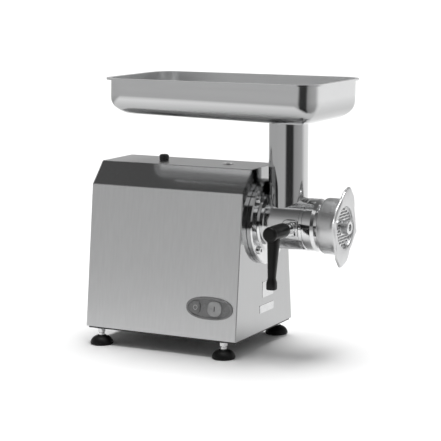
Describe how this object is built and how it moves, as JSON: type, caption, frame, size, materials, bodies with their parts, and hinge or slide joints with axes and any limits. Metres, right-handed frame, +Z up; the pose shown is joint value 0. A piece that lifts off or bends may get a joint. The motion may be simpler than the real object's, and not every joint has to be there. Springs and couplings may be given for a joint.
{
  "type": "electric meat grinder",
  "caption": "Bench-top electric meat grinder: wedge-shaped steel housing, geared motor, screw-feed head with clamp lever and ring nut, lift-off feed tray, levelling feet.",
  "frame": {"origin": "on the table, under the middle of the bounding box", "axes": "+X towards the grinding head's outlet, -Y the side with the switch, +Z up"},
  "size_m": [0.484, 0.2632, 0.4775],
  "materials": {
    "stainless_satin": "satin brushed sheet",
    "stainless_mirror": "bright polished",
    "ring_nut_steel": "fine cast, lightly polished",
    "tool_steel": "machined",
    "worm_steel": "cast and ground",
    "base_black": "black paint",
    "lever_black": "fine grained",
    "knob_black": "matte moulded",
    "foot_rubber": "moulded",
    "switch_grey": "moulded",
    "button_light": "moulded",
    "button_grey": "moulded",
    "contact_plastic": "moulded",
    "label_plate": "anodised, blank",
    "gear_steel": "ground",
    "cast_alloy": "die cast",
    "laminated_iron": "stacked laminations",
    "copper_winding": "enamelled copper",
    "capacitor_can": "drawn can",
    "nylon_white": "nylon"
  },
  "bodies": {
    "root": {"base_plate": "base_black", "base_screws": "stainless_satin", "housing_wrap": "stainless_satin", "front_panel": "stainless_mirror", "rear_panel": "stainless_satin", "rear_panel_screws": "stainless_satin", "breather_cap": "knob_black", "filler_plug": "stainless_mirror", "foot_lock_nuts": "tool_steel", "head_flange": "stainless_mirror", "flange_screws": "stainless_mirror", "feed_tube": "stainless_satin", "oil_seal": "foot_rubber", "switch_bezel": "switch_grey", "contact_block": "contact_plastic", "blank_label_plates": "label_plate", "cord_gland": "knob_black", "gland_nut": "knob_black", "gearbox_housing": "cast_alloy", "gearbox_cover": "cast_alloy", "gearbox_screws": "gear_steel", "ball_bearings": "gear_steel", "stator_core": "laminated_iron", "stator_windings": "copper_winding", "motor_front_shield": "cast_alloy", "motor_rear_shield": "cast_alloy", "motor_tie_rods": "gear_steel", "motor_cradle": "base_black", "run_capacitor": "capacitor_can", "capacitor_strap": "base_black", "terminal_block": "contact_plastic"},
    "foot_1": {"foot_pad_1": "foot_rubber", "foot_stud_1": "tool_steel"},
    "foot_2": {"foot_pad_2": "foot_rubber", "foot_stud_2": "tool_steel"},
    "foot_3": {"foot_pad_3": "foot_rubber", "foot_stud_3": "tool_steel"},
    "foot_4": {"foot_pad_4": "foot_rubber", "foot_stud_4": "tool_steel"},
    "feed_tray": {"feed_tray": "stainless_satin"},
    "barrel": {"barrel": "stainless_mirror", "plate_key": "tool_steel", "thrust_washer": "nylon_white"},
    "worm": {"worm": "worm_steel", "worm_stud": "tool_steel", "knife": "tool_steel"},
    "plate": {"perforated_plate": "stainless_mirror"},
    "ring_nut": {"ring_nut": "ring_nut_steel"},
    "clamp_lever": {"lever_handle": "lever_black", "lever_stud": "tool_steel", "lever_washer": "tool_steel"},
    "start_button": {"start_button": "button_light"},
    "stop_button": {"stop_button": "button_grey"},
    "drive": {"drive_shaft": "gear_steel", "output_gear": "gear_steel"},
    "layshaft": {"layshaft": "gear_steel", "layshaft_wheel": "gear_steel"},
    "rotor": {"rotor_core": "laminated_iron", "motor_shaft": "gear_steel", "cooling_fan": "cast_alloy"}
  },
  "joints": [
    {"name": "foot_1_level", "type": "slide", "parent": "root", "child": "foot_1", "axis": [0, 0, -1], "range_m": [0, 0.006]},
    {"name": "foot_2_level", "type": "slide", "parent": "root", "child": "foot_2", "axis": [0, 0, -1], "range_m": [0, 0.006]},
    {"name": "foot_3_level", "type": "slide", "parent": "root", "child": "foot_3", "axis": [0, 0, -1], "range_m": [0, 0.006]},
    {"name": "foot_4_level", "type": "slide", "parent": "root", "child": "foot_4", "axis": [0, 0, -1], "range_m": [0, 0.006]},
    {"name": "tray_lift", "type": "slide", "parent": "root", "child": "feed_tray", "axis": [0, 0, 1], "range_m": [0, 0.08]},
    {"name": "barrel_slide", "type": "slide", "parent": "root", "child": "barrel", "axis": [1, 0, 0], "range_m": [0, 0.1]},
    {"name": "worm_spin", "type": "hinge", "parent": "barrel", "child": "worm", "pos_m": [0.08, 0, 0.2274], "axis": [1, 0, 0], "continuous": true},
    {"name": "plate_slide", "type": "slide", "parent": "barrel", "child": "plate", "axis": [1, 0, 0], "range_m": [0, 0.0121]},
    {"name": "ring_nut_turn", "type": "hinge", "parent": "plate", "child": "ring_nut", "pos_m": [0.22, 0, 0.2274], "axis": [1, 0, 0], "range_deg": [0, 1080]},
    {"name": "clamp_lever_turn", "type": "hinge", "parent": "root", "child": "clamp_lever", "pos_m": [0.151, -0.09, 0.2274], "axis": [0, -1, 0], "range_deg": [0, 120]},
    {"name": "start_press", "type": "slide", "parent": "root", "child": "start_button", "axis": [0, 0.9942, -0.1075], "range_m": [0, 0.003], "stiffness_N_per_m": 300, "springref_m": -0.003},
    {"name": "stop_press", "type": "slide", "parent": "root", "child": "stop_button", "axis": [0, 0.9942, -0.1075], "range_m": [0, 0.003], "stiffness_N_per_m": 300, "springref_m": -0.003},
    {"name": "motor_spin", "type": "hinge", "parent": "root", "child": "rotor", "pos_m": [0, 0, 0.1154], "axis": [1, 0, 0], "continuous": true},
    {"name": "layshaft_spin", "type": "hinge", "parent": "root", "child": "layshaft", "pos_m": [0, 0, 0.1694], "axis": [1, 0, 0], "continuous": true},
    {"name": "drive_spin", "type": "hinge", "parent": "root", "child": "drive", "pos_m": [0, 0, 0.2274], "axis": [1, 0, 0], "continuous": true}
  ],
  "couplings": [
    {"joint": "layshaft_spin", "follows": "motor_spin", "ratio": -0.33333},
    {"joint": "drive_spin", "follows": "motor_spin", "ratio": 0.12698},
    {"joint": "worm_spin", "follows": "motor_spin", "ratio": 0.12698},
    {"joint": "plate_slide", "follows": "ring_nut_turn", "m_per_rad": 0.00063662}
  ]
}
